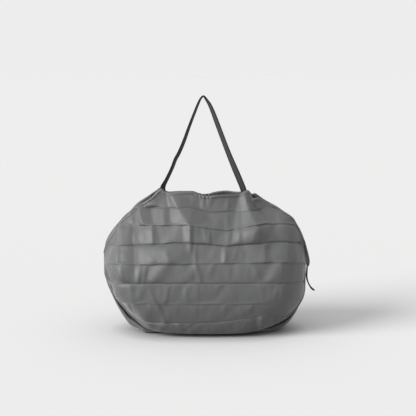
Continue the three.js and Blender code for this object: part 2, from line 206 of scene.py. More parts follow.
# Shares of each odd crease: how it deepens where its bands are squeezed, its depth and its groove
CLOSING = {1: 0.08, 3: 0.12, 5: 0.3, 7: 0.1}
DEPTH_SHARE = {1: 0.9, 3: 1.0, 5: 0.75, 7: 0.0}
GROOVE_SHARE = {1: 0.9, 3: 1.15, 5: 0.75, 7: 0.4}

# Share of each even crease's ridge
RIDGE_SHARE = {0: 1.0, 2: 1.0, 4: 0.65, 6: 0.35, 8: 1.0}

# The sharp lines at the creases: the widths of a valley, a crest and the shadow under it, how far below
# the crest that shadow lies, how many ridges deep it is, and how much painted shade it gives the cloth's
# colour
LINE = {"valley": 1.2, "crest": 1.4, "shadow": 1.2, "below": 2.4, "undercut": 2.0, "wear_and_painted_light": 0.6}

# Where creases fade: those above a level by the room between them, ridges near the rim,
# and all lines near the first level and the last
FADING = {"above": 4, "room": (8, 26), "rim": (3, 14), "first": (0.1, 0.4), "last": (0, 0.4)}

# A painted highlight along the base's edge at its slots, and where all painted light and wear end below it,
# in levels
PAINTED_EDGE_HIGHLIGHT = {"strength": 2.0, "reach": 0.1, "end": 0.5}

# Folds pressed or pulled into each side. A fold's crest starts at x on level from and leans until level to.
# It falls away over left and right, which grow by spread on the way, and it stands lift proud.
FOLD_COLUMNS = ("side", "x", "lean", "from", "to", "left", "right", "spread", "lift")
FOLDS = [
    (-1, 80, 29, 0.1, 2.8, 11, 9, 5.2, 7),
    (-1, -78, 38, 0.1, 2.0, 8, 20, 4.0, 5),
    (-1, -125, 3, 0.05, 0.95, 20, 36, 1.0, 5.4),
    (-1, -144, 11, 0.9, 2.0, 13, 18, 1.0, 7),
    (-1, -91, 1, 1.0, 2.0, 24, 10, 1.0, 2.2),
    (-1, -181, 2, 2.0, 3.0, 14, 20, 1.0, 6.5),
    (-1, -116, 1, 2.0, 2.95, 20, 7, 1.0, 2.8),
    (-1, 98, -3, 2.14, 2.95, 46, 12, 1.35, 3.6),
    (-1, -36, 1, 2.0, 3.4, 7, 7, 1.0, 2),
    (-1, -38, 1, 2.0, 2.98, 12, 76, 1.0, 2.8),
    (-1, -186, 1, 2.95, 4.0, 30, 30, 1.0, 6.2),
    (-1, -180, 1, 2.97, 4.0, 4, 10, 1.0, -1.3),
    (-1, -83, 2, 3.1, 4.0, 62, 50, 1.0, 6),
    (-1, -178, 2, 4.0, 4.9, 34, 26, 1.0, 5.2),
    (-1, -186, 10, 5.05, 6.2, 26, 34, 1.0, 2.4),
    (-1, -206, 4, 4.3, 4.95, 6, 5, 1.0, -4),
    (-1, -220, 18, 5.05, 6.2, 4, 5, 1.0, -3),
    (-1, -141, 5, 4.0, 4.9, 10, 14, 1.0, 0.7),
    (-1, -82, -30, 4.0, 4.9, 28, 20, 1.0, 2),
    (-1, -24, 11, 4.0, 4.9, 7, 7, 1.0, 1.1),
    (-1, -120, 13, 5.4, 6.0, 8, 6, 1.0, 1.8),
    (-1, -105, 17, 6.0, 7.0, 8, 6, 1.0, 1.6),
    (-1, -160, 40, 5.6, 7.4, 18, 22, 1.0, 2.6),
    (-1, 40, -3, 3.0, 4.0, 8, 18, 1.0, 2),
    (-1, 172, 0, 0.9, 4.0, 62, 30, 1.0, 3),
    (-1, 121, 0, 3.0, 4.0, 40, 14, 1.0, 3),
    (-1, 156, -24, 4.0, 4.9, 15, 26, 1.0, 2.6),
    (-1, 114, 3, 6.95, 7.85, 9, 30, 1.0, 3.4),
    (-1, -9, 1, 0.05, 0.8, 5, 5, 1.3, 0.9),
    (1, 82, -30, 0.1, 2.9, 14, 12, 3.0, 8),
    (1, -96, 34, 0.1, 2.4, 12, 9, 3.2, 7),
    (1, -140, -12, 1.8, 3.0, 22, 10, 1.0, 5),
    (1, 140, 8, 1.9, 4.0, 24, 14, 1.0, 5),
    (1, 10, 16, 2.0, 3.0, 20, 9, 1.0, 3.5),
    (1, -60, -10, 3.0, 4.0, 40, 12, 1.0, 4),
    (1, 178, -4, 3.0, 4.0, 20, 12, 1.0, 5),
    (1, 90, 20, 4.0, 5.0, 18, 12, 1.0, 3.5),
    (1, -150, 20, 4.0, 6.0, 16, 20, 1.0, 4),
    (1, -30, 24, 5.0, 6.0, 14, 10, 1.0, 3),
    (1, 60, -16, 6.0, 7.9, 18, 14, 1.0, 4),
]

# The strap's middle line from one end, inside the mouth, to the other, and how far its face is turned
STRAP_LINE = [
    (-93, 278, 6),
    (-95.8, 311, 30),
    (-92.6, 320, 47),
    (-88, 328, 54),
    (-73, 360, 58),
    (-68, 373.5, 57),
    (-61.5, 385, 56),
    (-52, 406, 58),
    (-36.5, 448, 64),
    (-25.2, 477, 68),
    (-18.5, 493.5, 70),
    (-14, 503, 74),
    (-7.2, 510, 76),
    (-1.8, 503, 68),
    (4.7, 493.5, 58),
    (12.3, 477, 49),
    (19.5, 458, 43),
    (44.5, 392, 36),
    (51, 376, 30),
    (61.5, 351, 13),
    (69.2, 333, 5),
    (79.4, 307, 0),
    (87, 278, 0),
]
STRAP_DEPTH = 0.8

# The webbing's rib along it, the cords across it and half of its width
WEBBING = {"rib": 0.0011, "cord": 0.0016, "half": 0.0065}

# One strand of the elastic loop, from under the tab down to the tip, where the other strand starts
LOOP_STRAND = [
    (219.3, 2.8, 139.6),
    (219, 3, 133),
    (218.6, 3.8, 126),
    (218.4, 4.8, 119),
    (219.2, 5.8, 112),
    (221.4, 6.6, 104.5),
    (225, 7, 97),
    (229.3, 7, 90.8),
    (232.2, 6.1, 88.4),
    (234.4, 3.6, 87),
    (235.2, 0, 86.6),
]

# The cloth's threads, and the stitches: from one to the next, half of their width, how much of that
# is full, and where each dash ends as a share of the pitch
THREAD = 0.0006
STITCH = {"pitch": 0.0028, "wide": 0.00045, "full": 0.6, "dash": (0.3, 0.4)}

# How finely each band is divided between its two creases, the base below its edge, and the bag's length
BAND_STEPS = (0, 0.022, 0.06, 0.13, 0.28, 0.5, 0.72, 0.87, 0.94, 0.978)
BASE_STEPS = (0, 0.08, 0.25, 0.4, 0.5, 0.65, 0.75, 0.85, 1.0, 1.2, 1.45, 1.75)
COLUMNS = 260


# Settings a user would change

class BagSizes(PropertyGroup):
    """Sizes of the bag's pieces."""

    band: FloatProperty(
        name="Band", description="Cloth between two creases", default=0.041, unit="LENGTH")
    wall: FloatProperty(
        name="Cloth", description="Thickness of the cloth", default=0.0007, unit="LENGTH")
    zigzag: FloatProperty(
        name="Pleat depth",
        description="How far an odd crease lies behind an even one where the cloth is flat",
        default=0.003, unit="LENGTH")
    groove: FloatProperty(
        name="Crease groove", description="Depth of the sharp line at an odd crease",
        default=0.0022, unit="LENGTH")
    ridge: FloatProperty(
        name="Crease ridge", description="Height of the sharp line at an even crease",
        default=0.0011, unit="LENGTH")
    hem: FloatProperty(
        name="Hem", description="Height of the folded rim", default=0.005, unit="LENGTH")
    strap_width: FloatProperty(
        name="Strap width", description="Width of the webbing", default=0.013, unit="LENGTH")
    strap_thick: FloatProperty(
        name="Strap thickness", description="Thickness of the webbing", default=0.0017, unit="LENGTH")
    loop_diameter: FloatProperty(
        name="Loop diameter", description="Diameter of the elastic", default=0.003, unit="LENGTH")
    wrinkles: IntProperty(
        name="Wrinkles", description="Small wrinkles in each band of each side", default=16)
    seed: IntProperty(name="Seed", description="Start of the random draws", default=7)


class BagColours(PropertyGroup):
    """Colours of the bag's materials."""

    cloth: FloatVectorProperty(
        name="Cloth", description="Grey of the cloth", default=(0.066, 0.067, 0.067), subtype="COLOR")
    webbing: FloatVectorProperty(
        name="Webbing", description="Dark grey of the strap", default=(0.021, 0.021, 0.0215),
        subtype="COLOR")
    elastic: FloatVectorProperty(
        name="Elastic", description="Near black of the loop", default=(0.022, 0.022, 0.023),
        subtype="COLOR")
    thread: FloatVectorProperty(
        name="Thread", description="Grey of the sewing thread", default=(0.10, 0.102, 0.102),
        subtype="COLOR")
    floor: FloatVectorProperty(
        name="Floor", description="Pale floor", default=(0.488, 0.488, 0.487), subtype="COLOR")


# The form of the cloth

def bell(t):
    return np.exp(-t * t)


def smooth_step(low, high, x):
    t = np.clip((x - low) / (high - low), 0, 1)
    return t * t * (3 - 2 * t)


def soft_least(a, b, soft):
    return 0.5 * (a + b - np.sqrt((a - b) ** 2 + soft * soft))


def soft_most(a, b, soft):
    return 0.5 * (a + b + np.sqrt((a - b) ** 2 + soft * soft))


def running(steps):
    """The way covered at the start and after each step."""
    return np.concatenate([[0], np.cumsum(steps)])


def rim_height(side, x):
    """Height of the mouth's edge on one side."""
    return RIM.at("front" if side < 0 else "back", x)


def calm_rim(side, x):
    """Height of the mouth's edge without its short notches, which the cloth below doesn't follow."""
    weights = bell(CALM / CALM.max())
    reach = np.clip(np.minimum(x - LEFT, RIGHT - x) / CALM_ENDS, 0, 1)
    heights = [weight * rim_height(side, x + reach * shift) for weight, shift in zip(weights, CALM)]
    return sum(heights) / weights.sum()


def base_lip(x):
    """Height of the base's front and back edges, which stand above the lowest cloth towards the ends."""
    return SECTIONS.at("bottom", x) + SECTIONS.at("lip", x)


def wander(side, x, n):
    """How far crease n strays up or down from its line."""
    slow, quick = WANDER["phases"]
    drift = WANDER["height"] * np.sin(x / WANDER["long"] + slow * n + side)
    return drift * np.sin(x / WANDER["short"] + quick * n)


def crease_heights(side, x):
    """Heights of a side's creases at stations x, as an array with a crease in each row."""
    top, bottom = rim_height(side, x), base_lip(x)
    pinch = PINCH * (top - bottom)
    sag = END_SAG * (DEEPEST - SECTIONS.at("depth", x))
    found = []
    for n, crease in enumerate(CREASES):
        line = crease["height"] - sag + wander(side, x, n)
        for place, left, right, drop in crease["bends"]:
            line = line - drop * tent(x - place, left, right, BEND_SOFT)
        low = bottom + (BASE_EDGE - n) * pinch
        found.append(soft_least(top - n * pinch, soft_most(low, line, CLAMP_SOFT), CLAMP_SOFT))
    found[0], found[-1] = top, bottom
    return np.array(found)


def swell(x, z, rim, bottom):
    """Half depth of the bag at a height, without its pleats and folds."""
    depth = SECTIONS.at("depth", x)
    base = np.minimum(depth, SECTIONS.at("base", x))
    gap = np.minimum(depth, SECTIONS.at("gap", x))
    share = (z - bottom) / (rim - bottom)
    upright = smooth_step(*COLLAR["depths"], depth)
    collar = COLLAR["height"] * upright / (rim - bottom)
    rising = (share - WAIST["level"]) / (1 - WAIST["level"] - collar)
    above = np.clip(soft_least(rising, 1.0, COLLAR["soft"] * upright), 0, 1)
    below = np.clip((WAIST["level"] - share) / WAIST["level"], 0, 1)
    upper = gap + (depth - gap) * (1 - above ** WAIST["above"])
    lower = base + (depth - base) * (1 - below ** WAIST["below"])
    return np.where(share > WAIST["level"], upper, lower)


# The base from its edge to the keel: the slot behind the edge, the second edge under it, its foot
# and the keel. Shares of the base's half depth are given for the flat middle and for the rising ends.
BASE_LEVELS = (0, 0.4, 0.75, 1.2, 2.0)
FLAT_SHARES = (1, 0.85, 0.7, 0.4, 0)
RISING_SHARES = (1, 0.2, 0.94, 0.76, 0)
RISING_HEIGHTS = (1, 0.95, 0.5, 0, 0)


def smooth_side(side, x, down):
    """Points of one side without pleats or folds, at stations x and levels down from the rim."""
    creases = crease_heights(side, x[:, 0])
    n = np.clip(down.astype(int), 0, BASE_EDGE - 1)
    station = np.broadcast_to(np.arange(len(x))[:, None], down.shape)
    high, low = creases[n, station], creases[n + 1, station]
    z = high + (low - high) * np.minimum(down - n, 1)
    bottom = SECTIONS.at("bottom", x)
    half = swell(x, z, calm_rim(side, x), base_lip(x))
    under = np.clip(down - BASE_EDGE, 0, KEEL - BASE_EDGE)
    base = np.minimum(SECTIONS.at("depth", x), SECTIONS.at("base", x))
    lip = SECTIONS.at("lip", x)
    rising = SECTIONS.at("slot", x)
    flat = np.interp(under, BASE_LEVELS, FLAT_SHARES)
    share = flat + rising * (np.interp(under, BASE_LEVELS, RISING_SHARES) - flat)
    rise = lip * np.interp(under, BASE_LEVELS, RISING_HEIGHTS)
    half = np.where(under > 0, base * share, half)
    z = np.where(under > 0, bottom + rise, z)
    return np.stack([np.broadcast_to(x, down.shape), side * half, z], axis=-1)


def outward(points, side):
    """Unit normals of a grid of points, pointing out of the bag."""
    along, down = np.gradient(points, axis=0), np.gradient(points, axis=1)
    normal = np.cross(down, along) * -side
    length = np.linalg.norm(normal, axis=-1, keepdims=True)
    return normal / np.maximum(length, TINY)


def tent(distance, left, right, soft=0.8):
    """A sharp fold: one at its crest, falling evenly to nought over left and right."""
    wide = np.where(distance < 0, left, right)
    return np.clip(1 + soft / wide - np.sqrt(distance ** 2 + soft * soft) / wide, 0, 1)


# Folds: the levels over which one ends, how far it lifts the cloth for each unit of its own lift,
# and how its lift grows as it spreads
FADE = 0.12
FOLD_LIFT = 1.6
GROWTH = 0.4

# How much of the normal's slope is kept in the direction that folds lift the cloth
LEVEL_SHARE = 0.25

# The gathers near the middle of the mouth
GATHER = {"x": -8.0, "width": 13.0, "pitch": 8.0, "lift": 1.2, "reach": 0.22}

# Flat facets of crumpled cloth: their width, how many lie across a band, their lift, how many are drawn
# along a band and across it, how far they start to the side, how they lean and wave, and where they fade
FACETS = {
    "width": 21.0, "rows": 1.4, "lift": 1.3, "drawn": (64, 4), "start": 9, "lean": 0.5,
    "waves": ((0.3, 31), (0.25, 17)), "fade": 0.12,
}

# Small wrinkles: their distance from the ends, how they lean, and the ranges of their other values
WRINKLES = {
    "margin": 25, "lean": 9, "from": (0, 0.3), "to": (0.6, 1.0),
    "left": (4, 14), "right": (3, 9), "spread": (0.7, 1.4), "lift": (0.22, 1.1),
}

# How a side settles: the most of the half depth that a pleat takes, the least of it that stays,
# the half depths over which pleats and folds set in, and how far past the base's edge folds end and fade
SETTLING = {"pleat": 0.4, "least": 0.35, "pleats": (0, 20), "folds": (4, 40), "past": 0.3, "fade": 0.5}

# How the cloth flares out above a slot, how the base's edge is rounded where it has no slot,
# and how low the folds reach as a share of the lowest cloth
FLARE = {"from": 7.7, "lift": 1.5}
ROUNDING = {"reach": 0.14, "passes": 10}
LOWEST = 0.5

# Stations along the bag: how many places the outline is measured at, how much the rim's rise counts,
# and the reach over which stations crowd together at the gathers
STATIONS = {"fine": 4000, "rise": 0.6, "crowd": 16}


def fold_heights(side, x, down, sizes):
    """How far the folds, small wrinkles, facets and gathers of a side lift the cloth."""
    lift = np.zeros(np.broadcast(x, down).shape)
    rows = [dict(zip(FOLD_COLUMNS, row)) for row in FOLDS]
    rows += small_wrinkles(side, sizes)
    for fold in rows:
        if fold["side"] != side:
            continue
        length = fold["to"] - fold["from"]
        along = np.clip((down - fold["from"]) / length, 0, 1)
        wider = 1 + (fold["spread"] - 1) * along
        crest = fold["x"] + fold["lean"] * along
        shape = tent(x - crest, fold["left"] * wider, fold["right"] * wider)
        fade = FADE * max(1.0, fold["spread"])
        ends = smooth_step(-FADE, FADE, down - fold["from"]) * smooth_step(-fade, fade, fold["to"] - down)
        lift = lift + FOLD_LIFT * fold["lift"] * wider ** GROWTH * shape * ends
    ruffle = np.sin(2 * math.pi * x / GATHER["pitch"]) * bell((x - GATHER["x"]) / GATHER["width"])
    lift = lift + FACETS["lift"] * facet_heights(side, x, down, sizes)
    return lift + GATHER["lift"] * ruffle * bell(down / GATHER["reach"])


def facet_heights(side, x, down, sizes):
    """Flat facets of crumpled cloth, drawn anew in each band, from minus one to one."""
    draw = np.random.default_rng(sizes.seed * 3 + side)
    band = np.clip(down.astype(int), 0, BASE_EDGE - 1)
    along = np.clip(down - band, 0, 1)
    columns, rows = FACETS["drawn"]
    (tall, long), (wide, short) = FACETS["waves"]
    table = draw.uniform(-1, 1, (BASE_EDGE, columns, rows))
    start = draw.uniform(0, FACETS["start"], BASE_EDGE)[band]
    v = along * FACETS["rows"] + tall * np.sin(x / long + band)
    u = (x - LEFT) / FACETS["width"] + start + FACETS["lean"] * v + wide * np.sin(x / short + 2 * band)
    i, j = np.floor(u).astype(int) % (columns - 1), np.floor(v).astype(int) % (rows - 1)
    s, t = u - np.floor(u), v - np.floor(v)
    a, b, c, d = (table[band, i + di, j + dj] for di, dj in ((0, 0), (1, 0), (0, 1), (1, 1)))
    lower = a + (b - a) * s + (c - a) * t
    upper = d + (c - d) * (1 - s) + (b - d) * (1 - t)
    facet = np.where(s + t < 1, lower, upper)
    return facet * smooth_step(0, FACETS["fade"], along) * smooth_step(0, FACETS["fade"], 1 - along)


def small_wrinkles(side, sizes):
    """Seeded short wrinkles that run across each band, from crease to crease."""
    draw = np.random.default_rng(sizes.seed + side)
    found = []
    for band in range(BASE_EDGE):
        for _ in range(sizes.wrinkles):
            start = band + draw.uniform(*WRINKLES["from"])
            found.append({
                "side": side,
                "x": draw.uniform(LEFT + WRINKLES["margin"], RIGHT - WRINKLES["margin"]),
                "lean": draw.normal(0, WRINKLES["lean"]),
                "from": start,
                "to": band + draw.uniform(*WRINKLES["to"]),
                **{name: draw.uniform(*WRINKLES[name]) for name in ("left", "right", "spread", "lift")},
            })
    return found


def pleat_depth(side, x, down, sizes):
    """How far the pressed creases lie behind the smooth cloth, and each place's wear and painted light:
    lighter along worn crests, painted shade in the valleys and under the ridges, and a painted highlight
    along the base's edge at its slots.
    """
    creases = crease_heights(side, x[:, 0])
    band = sizes.band / MM
    odd = np.clip(np.round((down - 1) / 2) * 2 + 1, 1, BASE_EDGE - 1).astype(int)
    station = np.broadcast_to(np.arange(len(x))[:, None], down.shape)
    room = (creases[odd - 1, station] - creases[odd + 1, station]) / 2
    closing = np.vectorize(CLOSING.get)(odd) * np.maximum(0, band - room)
    spent = np.where(odd < FADING["above"], smooth_step(*FADING["room"], room), 1)
    flat_depth = np.vectorize(DEPTH_SHARE.get)(odd) * sizes.zigzag / MM
    groove = np.vectorize(GROOVE_SHARE.get)(odd) * sizes.groove / MM
    wall = np.clip(BASE_EDGE - down, 0, 1)
    past_even = down - np.round(down / 2) * 2
    to_even = np.abs(past_even)
    size = np.minimum(room, band)
    valley = bell((1 - to_even) * size / LINE["valley"])
    crest = bell(to_even * size / LINE["crest"])
    shadow = bell((past_even * size - LINE["below"]) / LINE["shadow"])
    depth = (flat_depth + closing) * to_even * wall
    even = np.clip(np.round(down / 2) * 2, 0, BASE_EDGE).astype(int)
    faint = np.vectorize(RIDGE_SHARE.get)(even)
    free = smooth_step(*FADING["rim"], creases[0, station] - creases[even, station])
    crest, shadow = free * faint * crest, free * faint * shadow
    lines = groove * valley + sizes.ridge / MM * (LINE["undercut"] * shadow - crest)
    shown = smooth_step(*FADING["last"], wall) * smooth_step(*FADING["first"], down)
    depth = spent * (depth + shown * lines)
    # A painted highlight along the base's edge at its slots; with it, the colour is lighter along worn
    # crests and gets painted shade in valleys and under ridges
    edge = PAINTED_EDGE_HIGHLIGHT["strength"] * SECTIONS.at("slot", x) * bell((down - BASE_EDGE) / PAINTED_EDGE_HIGHLIGHT["reach"])
    wear_and_painted_light = spent * (crest - valley - LINE["wear_and_painted_light"] * shadow) + edge
    return depth, wear_and_painted_light * (down < BASE_EDGE + PAINTED_EDGE_HIGHLIGHT["end"])


def bag_side(side, x, down, sizes):
    """Points of one side of the finished cloth, its normals, and each place's crease wear and painted shade
    and highlight.
    """
    smooth = smooth_side(side, x, down)
    normal = outward(smooth, side)
    level = normal * np.array([1, 1, LEVEL_SHARE])
    level = level / np.maximum(np.linalg.norm(level, axis=-1, keepdims=True), TINY)
    pleat, wear_and_painted_light = pleat_depth(side, x, down, sizes)
    depth = SECTIONS.at("depth", x)
    half = np.abs(smooth[..., 1])
    pleat = np.minimum(pleat, SETTLING["pleat"] * half) * smooth_step(*SETTLING["pleats"], depth)
    past = BASE_EDGE + SETTLING["past"] - down
    settled = smooth_step(*SETTLING["folds"], depth) * smooth_step(0, SETTLING["fade"], past)
    flare = FLARE["lift"] * SECTIONS.at("slot", x) * smooth_step(FLARE["from"], BASE_EDGE, down)
    flare = flare * smooth_step(0, SETTLING["past"], past)
    lift = settled * (fold_heights(side, x, down, sizes) + flare) - pleat
    points = smooth + level * lift[..., None]
    points[..., 1] = side * np.maximum(side * points[..., 1], SETTLING["least"] * half)
    near_edge = bell((down - BASE_EDGE) / ROUNDING["reach"]) * (1 - SECTIONS.at("slot", x))
    for _ in range(ROUNDING["passes"]):
        even = points.copy()
        even[:, 1:-1] = 0.5 * points[:, 1:-1] + 0.25 * (points[:, :-2] + points[:, 2:])
        points = points + near_edge[..., None] * (even - points)
    points[..., 2] = np.maximum(points[..., 2], LOWEST * SECTIONS.at("bottom", x))
    points[0, :, 1] = points[-1, :, 1] = 0
    return points, normal, wear_and_painted_light


def stations(count):
    """Places along X that are even on the cloth, but closer at the gathers, and the way to each."""
    fine = np.linspace(LEFT, RIGHT, STATIONS["fine"])
    outline = np.stack([fine, SECTIONS.at("depth", fine), STATIONS["rise"] * RIM.at("back", fine)])
    run = running(np.linalg.norm(np.diff(outline, axis=1), axis=0))
    crowd = 1 + bell((fine - GATHER["x"]) / STATIONS["crowd"])
    count_at = running(np.diff(run) * crowd[1:])
    x = np.interp(np.linspace(0, count_at[-1], count + 1), count_at, fine)
    return x, np.interp(x, fine, run) * MM


def levels():
    """Levels of one side from the rim to the keel, closer together at the creases."""
    walls = [band + step for band in range(BASE_EDGE) for step in BAND_STEPS]
    base = [BASE_EDGE + step for step in BASE_STEPS]
    return np.array(walls + base + [KEEL], float)


# Meshes

# Distances within which points are merged and thin faces are dropped, in metres
MERGE = {"points": 1e-6, "slivers": 1e-7}


def uv_grid(along, across):
    return np.stack(np.meshgrid(along, across, indexing="ij"), axis=-1)


def grid_object(name, points, uv, layers=None, turned=False):
    """A mesh from a grid whose vertices are set to points, with a UV map in metres and vertex values."""
    columns, rows = points.shape[0] - 1, points.shape[1] - 1
    bm = bmesh.new()
    bmesh.ops.create_grid(bm, x_segments=columns, y_segments=rows, size=0.5)
    uv_layer = bm.loops.layers.uv.new("cut")
    value_layers = {key: bm.verts.layers.float.new(key) for key in layers or {}}
    place = {}
    for vert in bm.verts:
        i = round((vert.co.x + 0.5) * columns)
        j = round((vert.co.y + 0.5) * rows)
        place[vert] = (i, j)
        vert.co = Vector(points[i, j]) * MM
        for key, layer in value_layers.items():
            vert[layer] = layers[key][i, j]
    for face in bm.faces:
        face.smooth = True
        for loop in face.loops:
            loop[uv_layer].uv = uv[place[loop.vert]]
    bmesh.ops.remove_doubles(bm, verts=bm.verts, dist=MERGE["points"])
    bmesh.ops.dissolve_degenerate(bm, edges=bm.edges, dist=MERGE["slivers"])
    if turned:
        bmesh.ops.reverse_faces(bm, faces=bm.faces)
    mesh = bpy.data.meshes.new(name)
    bm.to_mesh(mesh)
    bm.free()
    piece = bpy.data.objects.new(name, mesh)
    bpy.context.scene.collection.objects.link(piece)
    return piece


def close_ends(piece):
    """Fills the two open ends of a tube and turns its faces outwards."""
    bm = bmesh.new()
    bm.from_mesh(piece.data)
    bmesh.ops.holes_fill(bm, edges=bm.edges, sides=0)
    bmesh.ops.recalc_face_normals(bm, faces=bm.faces)
    bm.to_mesh(piece.data)
    bm.free()


def add_wall(piece, thickness):
    wall = piece.modifiers.new("wall", "SOLIDIFY")
    wall.thickness = thickness
    wall.offset = -1.0


def dress(piece, material, slot, *nodes):
    """Gives a piece its material and its body, and hides the nodes that it stands for; the slot is not
    used.
    """
    piece.data.materials.append(material)
    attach(piece, BODY)
    if nodes:
        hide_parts(*nodes)
    return piece


# Materials

class Wire:
    """A socket of a material's nodes, with its sums written as expressions."""

    def __init__(self, tree, socket=None):
        self.tree = tree
        self.socket = socket

    def node(self, kind, settings=None, inputs=None, out=0):
        """Adds a node: its settings are set first, and then the values or links of its sockets."""
        made = self.tree.nodes.new(kind)
        for key, value in (settings or {}).items():
            setattr(made, key, value)
        for key, value in (inputs or {}).items():
            socket = made.inputs[key]
            if isinstance(value, Wire):
                self.tree.links.new(value.socket, socket)
            else:
                socket.default_value = value
        return Wire(self.tree, made.outputs[out])

    def sum(self, operation, a, b):
        return self.node("ShaderNodeMath", {"operation": operation}, {0: a, 1: b})

    def __add__(self, other):
        return self.sum("ADD", self, other)

    def __sub__(self, other):
        return self.sum("SUBTRACT", self, other)

    def __rsub__(self, other):
        return self.sum("SUBTRACT", other, self)

    def __mul__(self, other):
        return self.sum("MULTIPLY", self, other)

    def wave(self):
        """A sine of the value, from nought to one."""
        return self.sum("SINE", self, 0.0) * 0.5 + 0.5

    def limited(self):
        return self.node("ShaderNodeClamp", None, {0: self})

    def fading(self, near, far):
        """One up to near, falling to nought at far."""
        return self.node("ShaderNodeMapRange", {"interpolation_type": "SMOOTHSTEP"},
                         {"Value": self, "From Min": near, "From Max": far, "To Min": 1.0, "To Max": 0.0})

    def mixed(self, first, second):
        """One colour turning into another by this value."""
        return self.node(
            "ShaderNodeMix", {"data_type": "RGBA"}, {"Factor": self, 6: first, 7: second}, out=2)


def new_material(name):
    material = bpy.data.materials.new(name)
    material.use_nodes = True
    tree = material.node_tree
    tree.nodes.clear()
    shader = tree.nodes.new("ShaderNodeBsdfPrincipled")
    output = tree.nodes.new("ShaderNodeOutputMaterial")
    tree.links.new(shader.outputs[0], output.inputs[0])
    return material, Wire(tree), shader


def shade(colour, factor):
    return (*[min(1.0, channel * factor) for channel in colour], 1.0)


def feed(wire, shader, **sockets):
    for name, value in sockets.items():
        socket = shader.inputs[name.replace("_", " ")]
        if isinstance(value, Wire):
            wire.tree.links.new(value.socket, socket)
        else:
            socket.default_value = value


def cut_map(wire):
    """A piece's UV map, in metres, and its two directions, along the cloth and across it."""
    place = wire.node("ShaderNodeUVMap", {"uv_map": "cut"})
    along = wire.node("ShaderNodeSeparateXYZ", None, {0: place})
    return place, along, Wire(wire.tree, along.socket.node.outputs[1])


def stitches(along, across, line):
    """One where a stitch of a straight seam lies, at a distance across the cloth, and nought elsewhere."""
    step = along.sum("FRACT", along * (1 / STITCH["pitch"]), 0.0)
    dash = along.sum("ABSOLUTE", step - 0.5, 0.0)
    aside = along.sum("ABSOLUTE", across - line, 0.0)
    return dash.fading(*STITCH["dash"]) * aside.fading(STITCH["wide"] * STITCH["full"], STITCH["wide"])


def cloth_material(name, colours, seam=None):
    """Thin woven polyester, a little shiny along its pressed creases and lightly crumpled. Its colour is
    lighter along worn crests, with painted shade in the creases' valleys and under their ridges and a
    painted highlight along the base's edge at its slots.
    """
    material, wire, shader = new_material(name)
    place, along, across = cut_map(wire)
    wear_and_painted_light = wire.node("ShaderNodeAttribute", {"attribute_name": "wear_and_painted_light"}, out=2)
    thread = 2 * math.pi / THREAD
    weave = (along * thread).wave() * (across * thread).wave()
    cloud = wire.node("ShaderNodeTexNoise", None, {"Vector": place, "Scale": 9.0, "Detail": 3.0})
    grain = wire.node("ShaderNodeTexNoise", None, {"Vector": place, "Scale": 900.0, "Detail": 2.0})
    tall = wire.node("ShaderNodeMapping", None, {"Vector": place, "Scale": (1.0, 0.45, 1.0)})
    crumple = wire.node(
        "ShaderNodeTexNoise", {"noise_type": "RIDGED_MULTIFRACTAL"},
        {"Vector": tall, "Scale": 55.0, "Detail": 2.5, "Roughness": 0.45, "Distortion": 0.6})
    # Painted light in the colour: lighter along worn crests, painted shade in the creases' valleys and
    # under their ridges, and a painted highlight along the base's edge at its slots
    tone = (cloud * 0.5 + grain * 0.25 + weave * 0.1 + wear_and_painted_light * 0.15).limited()
    colour = tone.mixed(shade(colours.cloth, 0.78), shade(colours.cloth, 1.26))
    relief = weave + grain * 0.6
    if seam is not None:
        sewn = stitches(along, across, seam)
        colour = sewn.mixed(colour, shade(colours.thread, 1.0))
        relief = relief + sewn * 4.0
    feed(wire, shader,
         Base_Color=colour, Roughness=0.58 - wear_and_painted_light * 0.06 + (grain - 0.5) * 0.12, Specular_IOR_Level=0.5,
         Sheen_Weight=0.3, Sheen_Roughness=0.35)
    fine = wire.node("ShaderNodeBump", None, {"Strength": 0.4, "Distance": 0.0001, "Height": relief})
    bump = wire.node(
        "ShaderNodeBump", None,
        {"Strength": 0.6, "Distance": 0.0008, "Height": crumple * 0.5 + cloud * 0.6, "Normal": fine})
    feed(wire, shader, Normal=bump)
    return material


def webbing_material(colours):
    """Flat woven tape with a rib across it, darker towards its two edges."""
    material, wire, shader = new_material("woven_webbing")
    place, along, across = cut_map(wire)
    rib = (along * (2 * math.pi / WEBBING["rib"])).wave()
    cord = (across * (2 * math.pi / WEBBING["cord"])).wave()
    weave = rib * 0.6 + cord * 0.4
    grain = wire.node("ShaderNodeTexNoise", None, {"Vector": place, "Scale": 700.0, "Detail": 2.0})
    middle = wire.sum("ABSOLUTE", across, 0.0) * (1 / WEBBING["half"])
    edge = wire.node("ShaderNodeMapRange", {"interpolation_type": "SMOOTHSTEP"},
                     {"Value": middle, "From Min": 0.4, "From Max": 0.8})
    tone = (0.8 - edge * 0.75 + (weave - 0.5) * 0.35 + (grain - 0.5) * 0.3).limited()
    feed(wire, shader,
         Base_Color=tone.mixed(shade(colours.webbing, 0.35), shade(colours.webbing, 1.75)),
         Roughness=0.78 - weave * 0.12, Specular_IOR_Level=0.25)
    feed(wire, shader, Normal=wire.node(
        "ShaderNodeBump", None, {"Strength": 0.6, "Distance": 0.0003, "Height": weave + grain * 0.3}))
    return material


def elastic_material(colours):
    """Braided cover of the elastic."""
    material, wire, shader = new_material("braided_elastic")
    place = wire.node("ShaderNodeTexCoord", None, None, out=3)
    braid = wire.node("ShaderNodeTexNoise", None, {"Vector": place, "Scale": 1400.0, "Detail": 2.0})
    feed(wire, shader,
         Base_Color=braid.mixed(shade(colours.elastic, 0.6), shade(colours.elastic, 1.8)),
         Roughness=0.7, Specular_IOR_Level=0.3)
    feed(wire, shader, Normal=wire.node(
        "ShaderNodeBump", None, {"Strength": 0.5, "Distance": 0.0002, "Height": braid}))
    return material


